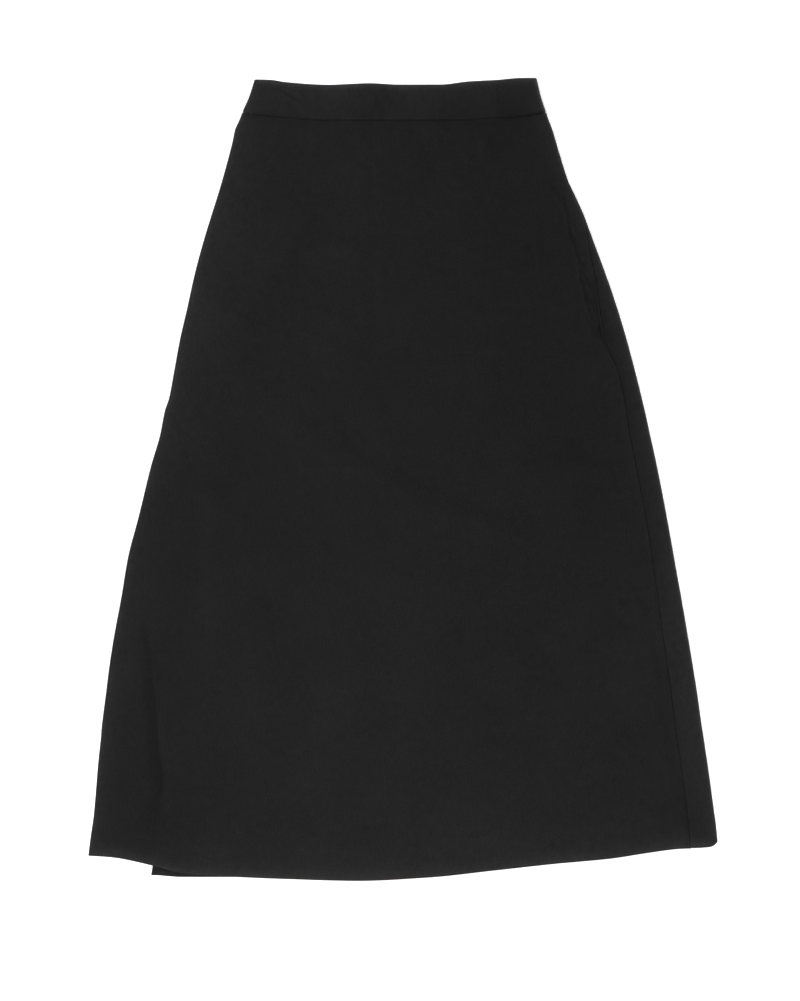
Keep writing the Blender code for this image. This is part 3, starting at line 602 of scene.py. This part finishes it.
def make_panel(name, rows, columns, is_front):
    """The front or the back panel, row by row. Each row runs along the cloth from one side seam to the other."""
    run = spaced(0.0, PANEL_LENGTH, rows, PANEL_SPOTS)
    near, sunk = turned_in(run, WAIST_ROLL)
    down = near / PANEL_LENGTH
    down = down + (1 - down[-1]) * ease(0.9, 1.0, run / PANEL_LENGTH)
    down[-1] = 1.0

    def hem(across):
        """The rows of both panels follow the front's hem, and part from it only near the bottom."""
        common = read(HEM, "front", across)
        own = read(HEM, "front" if is_front else "back", across)
        return common + (own - common) * np.clip(down[:, None], 0.0, 1.0) ** 8

    ring = Ring(down, waist_seam, hem, PANEL_WALL, lambda drop: read(LEFT_SIDE, "radius", drop), PANEL_FOLD)

    sewn = 1 - ease(SLIT_DROP - 0.006, SLIT_DROP + 0.004, ring.right_drop)
    sewn_left = 1 - ease(SLIT_DROP - 0.006, SLIT_DROP + 0.004, ring.left_drop)
    seam = read(RIGHT_SEAM, "reach", ring.right_drop)
    parted = right_parting(ring.right_drop) / 2 * (1 - sewn) * SLIT_CLOSING
    from_left = np.empty((rows, columns))
    start_dip = np.empty_like(from_left)
    end_dip = np.empty_like(from_left)
    from_start = np.empty_like(from_left)
    from_end = np.empty_like(from_left)
    for row in range(rows):
        radius = ring.left_radius[row, 0]
        girth = ring.girth[row, 0]
        seam_place = girth - seam[row, 0]
        back_edge = read(LEFT_SIDE, "back", ring.left_drop[row, 0])
        # points lie closer at both seams, round the side fold, over the back's left edge and beside the zip
        if is_front:
            start = ring.reach_under(radius, read(LEFT_SIDE, "front", ring.left_drop[row, 0]) - GAP / 2)
            end = seam_place - parted[row, 0]
            spots = [(start, 0.0030, 0.0006), (0.0, 0.0045, 0.0008), (back_edge + 0.002, 0.014, 0.0020),
                     (end - 0.018, 0.022, 0.0013), (end, 0.0034, 0.0005)]
        else:
            start = seam_place + parted[row, 0]
            end = (girth + ring.right[row, 0] - ring.left[row, 0] - back_edge - ring.wall / 2 - PANEL_FOLD
                   + ring.right_quarter)
            spots = [(start, 0.0034, 0.0005), (girth, 0.0050, 0.0008), (start + 0.016, 0.018, 0.0018),
                     (end, 0.0034, 0.0006)]
        places = spaced(start, end, columns, spots)
        roll = ZIP_ROLL + (SEAM_ROLL - ZIP_ROLL) * ease(0.28, 0.34, ring.right_drop[row, 0])
        first, first_dip = turned_in(places - start, SEAM_ROLL if is_front else roll)
        last, last_dip = turned_in(end - places, roll if is_front else SEAM_ROLL)
        left_end = sewn_left[row, 0]
        at_start, at_end = (left_end, sewn[row, 0]) if is_front else (sewn[row, 0], left_end)
        fade = ease(0.0, 0.4, (places - start) / (end - start))
        from_left[row] = (places + (first - (places - start)) * at_start * (1 - fade)
                          - (last - (end - places)) * at_end * fade)
        start_dip[row] = first_dip * at_start
        end_dip[row] = last_dip * at_end
        if is_front:
            end_dip[row] += SLIT_TUCK * (1 - sewn[row, 0]) * np.exp(-(end - places) / 0.004)
        from_start[row], from_end[row] = places - start, end - places

    dip = np.minimum(np.hypot(np.hypot(start_dip, end_dip), sunk[:, None]), DEEPEST_DIP)
    middle, drop = ring.lay(from_left, panel_height, panel_underside, dip)
    x = middle[..., 0]
    bottom = ring.bottom((x - ring.left) / (ring.right - ring.left))
    from_hem = np.maximum(bottom - drop, 0.0)
    side_edge = np.minimum(from_start, from_end)
    open_edge = ease(SLIT_DROP, SLIT_DROP + 0.02, drop)
    turning = np.maximum(1 - ease(HEM_TURN - 0.006, HEM_TURN + 0.004, from_hem),
                         (1 - ease(SLIT_TURN - 0.006, SLIT_TURN + 0.006, side_edge)) * open_edge)
    thickness = CLOTH + (HEM_CLOTH - CLOTH) * turning
    thickness = thickness * edge_share(from_hem, 0.0009) * edge_share(side_edge, 0.0003)
    thickness = thickness * edge_share(run[:, None] + 0 * x, 0.0005)
    # painted shade along the stitched grooves of the side seams, and painted light where the cloth comes up out of
    # the waist seam, against the shade of its groove
    seam_shade = np.exp(-(side_edge / 0.0016) ** 2) * (1 - open_edge)
    painted_shading_share = painted_shading(x, drop, DEEP_LINES, PAINTED_LIGHT_PATCHES) - (0.22 + 0.13 * ease(0.28, 0.34, drop)) * seam_shade
    painted_shading_share += 0.40 * np.exp(-(run[:, None] / 0.0030) ** 2)
    rim = outline_mark(ring, x, drop, drop - 1.0, bottom)
    if not is_front:
        # the strip that is rolled forward at the right faces the light below the hip
        painted_shading_share += painted_shading(x, drop, CORNER_SHADE)
        painted_shading_share += 0.25 * ease(0.46, 0.66, drop) * (1 - 0.5 * ease(0.78, 0.88, drop))
    marks = {"rim": rim, "painted_shading": painted_shading_share, "thread": relief(HEM_THREAD if is_front else [], x, drop)}
    plan = np.stack([from_left, -np.broadcast_to(run[:, None], from_left.shape)], axis=2)
    return cloth_wall(name, middle, thickness, plan, marks)


def make_band(name, rows, columns, is_front):
    """One half of the waistband, open at both ends where it meets the other half."""
    def top(across):
        return read(BAND_TOP, "drop", across)

    run = spaced(0.0, BAND_LENGTH, rows, BAND_SPOTS)
    near, sunk = turned_in(BAND_LENGTH - run, WAIST_ROLL)
    down = 1 - near / BAND_LENGTH
    down = down - down[0] * (1 - ease(0.0, 0.3, run / BAND_LENGTH))
    ring = Ring(down, top, waist_seam, BAND_WALL, lambda drop: BAND_FOLD + 0 * drop, BAND_FOLD)
    from_left = np.empty((rows, columns))
    from_start = np.empty_like(from_left)
    from_end = np.empty_like(from_left)
    for row in range(rows):
        girth = ring.girth[row, 0]
        inset = read(LEFT_SIDE, "front", ring.left_drop[row, 0])
        if is_front:
            start, end = ring.reach_under(BAND_FOLD, inset - GAP / 2), girth - GAP / 2
        else:
            start = girth + GAP / 2
            end = (girth + ring.right[row, 0] - ring.left[row, 0] - inset - GAP / 2 - ring.wall / 2 - BAND_FOLD
                   + ring.right_quarter)
        # points lie closer at both ends, round the side fold and at the two sharp creases
        spots = [(start, 0.002, 0.0005), (end, 0.002, 0.0005), (0.0 if is_front else girth, 0.005, 0.0009),
                 (0.048, 0.017, 0.0011), (0.274, 0.006, 0.0009)]
        places = spaced(start, end, columns, spots)
        from_left[row] = places
        from_start[row], from_end[row] = places - start, end - places
    dip = np.broadcast_to(sunk[:, None], from_left.shape)
    middle, drop = ring.lay(from_left, band_height, band_underside, dip)
    x = middle[..., 0]
    from_top = run[:, None] + 0 * x
    thickness = BAND_CLOTH * edge_share(from_top, 0.0011) * edge_share(np.minimum(from_start, from_end), 0.0008)
    thickness = thickness * (0.54 + 0.46 * ease(0.0008, 0.0022, BAND_LENGTH - from_top))
    # painted light and shade from the lists, and painted light along the band's lower edge against the shade of
    # the waist seam
    painted_shading_share = painted_shading(x, drop, DEEP_LINES, PAINTED_LIGHT_PATCHES) + 0.30 * np.exp(-((BAND_LENGTH - from_top) / 0.0022) ** 2)
    marks = {"rim": outline_mark(ring, x, drop, drop - from_top, drop + 1.0), "painted_shading": painted_shading_share, "thread": 0 * x}
    plan = np.stack([from_left, -from_top], axis=2)
    return cloth_wall(name, middle, thickness, plan, marks)


def zip_line(drop):
    """Across and up, the middle of the zip's tape at a drop."""
    above = WAIST_SEAM_DROP + WAIST_SEAM_SAG / 2
    lift = (BAND_WALL - PANEL_WALL) * np.exp(-np.maximum(drop - above, 0.0) / (BAND_EASE_LENGTH / 2))
    return read(OUTLINE, "right", drop) - read(ZIP_PATH, "inset", drop), PANEL_WALL + GAP + lift + TAPE_WALL / 2


def make_tape():
    """The two woven halves of the zip's tape, closed, as one strip."""
    drops = np.linspace(ZIP_TOP, ZIP_END, 120)[:, None]
    sides = np.array([-0.5, -0.47, -0.4, -0.25, -0.12, -0.05, 0.0, 0.05, 0.12, 0.25, 0.4, 0.47, 0.5])[None, :]
    across, z = zip_line(drops)
    x = across + ZIP_WIDTH * sides
    middle = np.stack([x, -drops + 0 * x, z + 0 * x], axis=2)
    along = np.minimum(drops - ZIP_TOP, ZIP_END - drops) + 0 * x
    thickness = TAPE_CLOTH * edge_share(along, 0.0006) * edge_share(ZIP_WIDTH * (0.5 - np.abs(sides)), 0.0004)
    plan = np.stack([ZIP_WIDTH * sides + 0 * x, -drops + 0 * x], axis=2)
    return cloth_wall("tape", middle, thickness, plan, {"rim": 0 * x, "painted_shading": 0 * x, "thread": 0 * x})


def make_coil():
    """The closed coil of the zip: one turn, modelled once, and its copies all the way down the tape."""
    bpy.ops.object.select_all(action="DESELECT")
    bpy.ops.mesh.primitive_cylinder_add(vertices=8, radius=COIL_WIRE / 2, depth=COIL_WIDTH,
                                        rotation=(0.0, math.pi / 2, COIL_SLANT))
    turn = bpy.context.object
    bpy.ops.object.transform_apply(location=False, rotation=True, scale=False)
    bpy.ops.object.mode_set(mode="EDIT")
    bpy.ops.mesh.select_all(action="DESELECT")
    bpy.ops.object.mode_set(mode="OBJECT")
    for face in turn.data.polygons:
        face.select = len(face.vertices) == 8
    bpy.ops.object.mode_set(mode="EDIT")
    bpy.ops.mesh.inset(thickness=COIL_WIRE * 0.2, depth=COIL_WIRE * 0.25)
    bpy.ops.object.mode_set(mode="OBJECT")
    bpy.ops.object.shade_smooth_by_angle(angle=math.radians(50))

    for drop in np.arange(ZIP_TOP + 2 * SLIDER_LENGTH, ZIP_END - COIL_PITCH, COIL_PITCH):
        across, up = zip_line(drop)
        copy = bpy.data.objects.new("turn", turn.data.copy())
        bpy.context.scene.collection.objects.link(copy)
        place = (across - MIDDLE_X, WAIST_Y - drop, up + TAPE_CLOTH / 2 + COIL_WIRE / 2)
        copy.data.transform(Matrix.Translation(place))
        copy.select_set(True)
    bpy.context.view_layer.objects.active = copy
    turn.select_set(False)
    bpy.ops.object.join()
    bpy.data.objects.remove(turn)
    coil = bpy.context.object
    coil.name = "coil"
    return coil


# Materials

class Signal:
    """A number that runs through a material. Sums and products of signals add the Math nodes for them."""

    def __init__(self, finish, socket):
        self.finish, self.socket = finish, socket

    def maths(self, operation, *values):
        return self.finish.node("ShaderNodeMath", {"operation": operation}, dict(enumerate(values)))

    def __add__(self, other):
        return self.maths("ADD", self, other)

    def __mul__(self, other):
        return self.maths("MULTIPLY", self, other)

    def __sub__(self, other):
        return self.maths("SUBTRACT", self, other)

    def __rsub__(self, other):
        return self.maths("SUBTRACT", other, self)

    __radd__ = __add__
    __rmul__ = __mul__


class Finish:
    """One material, built node by node."""

    def __init__(self, name, **constants):
        self.material = bpy.data.materials.new(name)
        self.material.use_nodes = True
        self.tree = self.material.node_tree
        self.shader = self.tree.nodes["Principled BSDF"]
        for socket, value in constants.items():
            self.shader.inputs[socket.replace("_", " ")].default_value = value

    def node(self, kind, settings=None, sockets=None, output=0):
        made = self.tree.nodes.new(kind)
        for setting, value in (settings or {}).items():
            setattr(made, setting, value)
        for socket, value in (sockets or {}).items():
            self.feed(made.inputs[socket], value)
        return Signal(self, made.outputs[output])

    def soft_noise(self, place, scale, detail, roughness=0.5):
        sockets = {"Vector": place, "Scale": scale, "Detail": detail, "Roughness": roughness}
        return self.node("ShaderNodeTexNoise", {}, sockets)

    def stretched(self, place, across, down):
        return self.node("ShaderNodeMapping", {}, {"Vector": place, "Scale": (across, down, 1.0)})

    def feed(self, socket, value):
        if isinstance(value, Signal):
            self.tree.links.new(value.socket, socket)
        else:
            socket.default_value = value

    def shade(self, **sockets):
        for socket, value in sockets.items():
            self.feed(self.shader.inputs[socket.replace("_", " ")], value)


def grey(value, tint=(1.0, 1.0, 1.0)):
    """A grey, or with a tint a colour close to it."""
    return (value * tint[0], value * tint[1], value * tint[2], 1.0)


DYE = (1.006, 1.010, 0.994)        # the black leans this little from a true grey
BROWN_THREAD = (1.32, 0.96, 1.02)  # and the faint thread in the hem leans this far from the black


def crepe(name, dark, light, rim_highlight):
    """Matt black crepe: fine uneven threads, a cloudy tone, a painted highlight along the edges and painted light
    and shade from the marks on the mesh.
    """
    finish = Finish(name, Specular_IOR_Level=0.08, Sheen_Weight=0.10, Sheen_Roughness=0.35)
    plan = finish.node("ShaderNodeUVMap", {"uv_map": "plan"})
    cloudy = finish.soft_noise(plan, 16.0, 3.0, 0.55)
    mottled = finish.soft_noise(plan, 130.0, 2.0, 0.6)
    grain = finish.soft_noise(plan, 420.0, 2.0, 0.6)
    warp = finish.soft_noise(finish.stretched(plan, 1900.0, 420.0), 1.0, 1.0)
    weft = finish.soft_noise(finish.stretched(plan, 420.0, 1900.0), 1.0, 1.0)
    threads = warp * 0.5 + weft * 0.5
    ribs = finish.soft_noise(finish.stretched(plan, 520.0, 110.0), 1.0, 2.0)
    shade = cloudy * 0.5 + mottled * 0.7 + ribs * 0.8 + grain * 0.8 + threads * 0.4 - 1.1
    black, lighter = grey(dark, DYE), grey(light, DYE)
    body = finish.node("ShaderNodeMix", {"data_type": "RGBA"}, {0: shade, 6: black, 7: lighter}, 2)
    rim, painted_shading_share, thread = (finish.node("ShaderNodeAttribute", {"attribute_name": mark}, output=2)
                          for mark in ("rim", "painted_shading", "thread"))
    # the painted highlight along the rims and the painted light and shade from the marks scale the cloth's colour
    painted_light_scale = 1 + rim * (rim_highlight * 0.7 + rim_highlight * 0.6 * cloudy) + painted_shading_share
    painted_light = finish.node("ShaderNodeVectorMath", {"operation": "SCALE"}, {0: body, 3: painted_light_scale})
    brown = finish.node("ShaderNodeVectorMath", {"operation": "MULTIPLY"}, {0: painted_light, 1: BROWN_THREAD})
    dyed = finish.node("ShaderNodeMix", {"data_type": "RGBA"}, {0: thread, 6: painted_light, 7: brown}, 2)
    height = threads * 0.6 + grain * 0.8
    bump = finish.node("ShaderNodeBump", {}, {"Strength": 0.5, "Distance": 0.0004, "Height": height})
    finish.shade(Base_Color=dyed, Roughness=0.78 + grain * 0.14, Normal=bump)
    return finish.material


def plain(name, colour, roughness, metallic=0.0):
    """One even colour with a slightly uneven gloss."""
    finish = Finish(name, Base_Color=colour, Metallic=metallic)
    place = finish.node("ShaderNodeTexCoord", output=3)
    finish.shade(Roughness=roughness - 0.05 + finish.soft_noise(place, 900.0, 2.0) * 0.1)
    return finish.material


def dress(piece, material, *nodes, slot):
    """Give a piece its material, and hide the nodes that it replaces. The slot is not used."""
    piece.data.materials.clear()
    piece.data.materials.append(material)
    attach(piece, "root")
    if nodes:
        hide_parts(*nodes)


panel_cloth = crepe("panel_crepe", dark=0.0055, light=0.0120, rim_highlight=1.7)
band_cloth = crepe("band_crepe", dark=0.0060, light=0.0125, rim_highlight=1.6)
tape_cloth = crepe("zip_weave", dark=0.006, light=0.012, rim_highlight=0.0)
metal = plain("zip_metal", grey(0.03), roughness=0.45, metallic=0.8)
nylon = plain("zip_nylon", grey(0.012), roughness=0.40)

front = make_panel("front", rows=274, columns=176, is_front=True)
back = make_panel("back", rows=236, columns=104, is_front=False)
band_front = make_band("band_front", rows=42, columns=200, is_front=True)
band_back = make_band("band_back", rows=42, columns=150, is_front=False)
tape = make_tape()
dress(front, panel_cloth, "front_panel", slot="cloth")
dress(back, panel_cloth, "back_panel", slot="cloth")
dress(band_front, band_cloth, "waistband_front", slot="waistband")
dress(band_back, band_cloth, "waistband_back", slot="waistband")
dress(tape, tape_cloth, "zip_tape", slot="zip_tape")
dress(make_coil(), nylon, slot="zip_tape")
bpy.data.objects["zip_slider"].data.materials.clear()
bpy.data.objects["zip_slider"].data.materials.append(metal)

# Floor, light and camera
bpy.ops.object.select_all(action="DESELECT")
bpy.ops.mesh.primitive_plane_add(size=40.0, location=(0.0, 0.0, 0.0))
floor = bpy.context.object
floor.name = "floor"
paper = Finish("white_paper", Roughness=0.9, Specular_IOR_Level=0.1)
paper.shade(Base_Color=grey(0.86), Emission_Color=grey(1.0), Emission_Strength=0.55)
floor.data.materials.append(paper.material)

world = bpy.data.worlds.new("studio")
bpy.context.scene.world = world
world.use_nodes = True
world.node_tree.nodes["Background"].inputs["Color"].default_value = grey(1.0)
world.node_tree.nodes["Background"].inputs["Strength"].default_value = 0.05


def softbox(name, place, aim, side, spread, power):
    """A square lamp that is out of the camera's sight. Spread is in degrees."""
    light = bpy.data.lights.new(name, "AREA")
    light.shape, light.size, light.spread, light.energy = "SQUARE", side, math.radians(spread), power
    lamp = bpy.data.objects.new(name, light)
    bpy.context.scene.collection.objects.link(lamp)
    lamp.location = place
    lamp.rotation_euler = (Vector(aim) - Vector(place)).to_track_quat("-Z", "Y").to_euler()
    lamp.visible_camera = False


softbox("key", place=(3.9, 3.6, 0.80), aim=(-1.0, -1.2, 0.0), side=1.0, spread=30, power=22.5)
softbox("upper_fill", place=(-1.3, 0.6, 1.5), aim=(-0.3, 0.1, 0.0), side=0.9, spread=160, power=19.4)
softbox("lower_fill", place=(0.0, -1.9, 1.2), aim=(0.0, -0.3, 0.0), side=0.9, spread=160, power=33)

camera = bpy.data.cameras.new("camera")
camera.lens, camera.sensor_width = 85.0, 36.0
viewpoint = bpy.data.objects.new("camera", camera)
bpy.context.scene.collection.objects.link(viewpoint)
viewpoint.location = (-0.00315, -0.0237, 2.6635)
bpy.context.scene.camera = viewpoint
bpy.context.scene.view_settings.view_transform = "Standard"
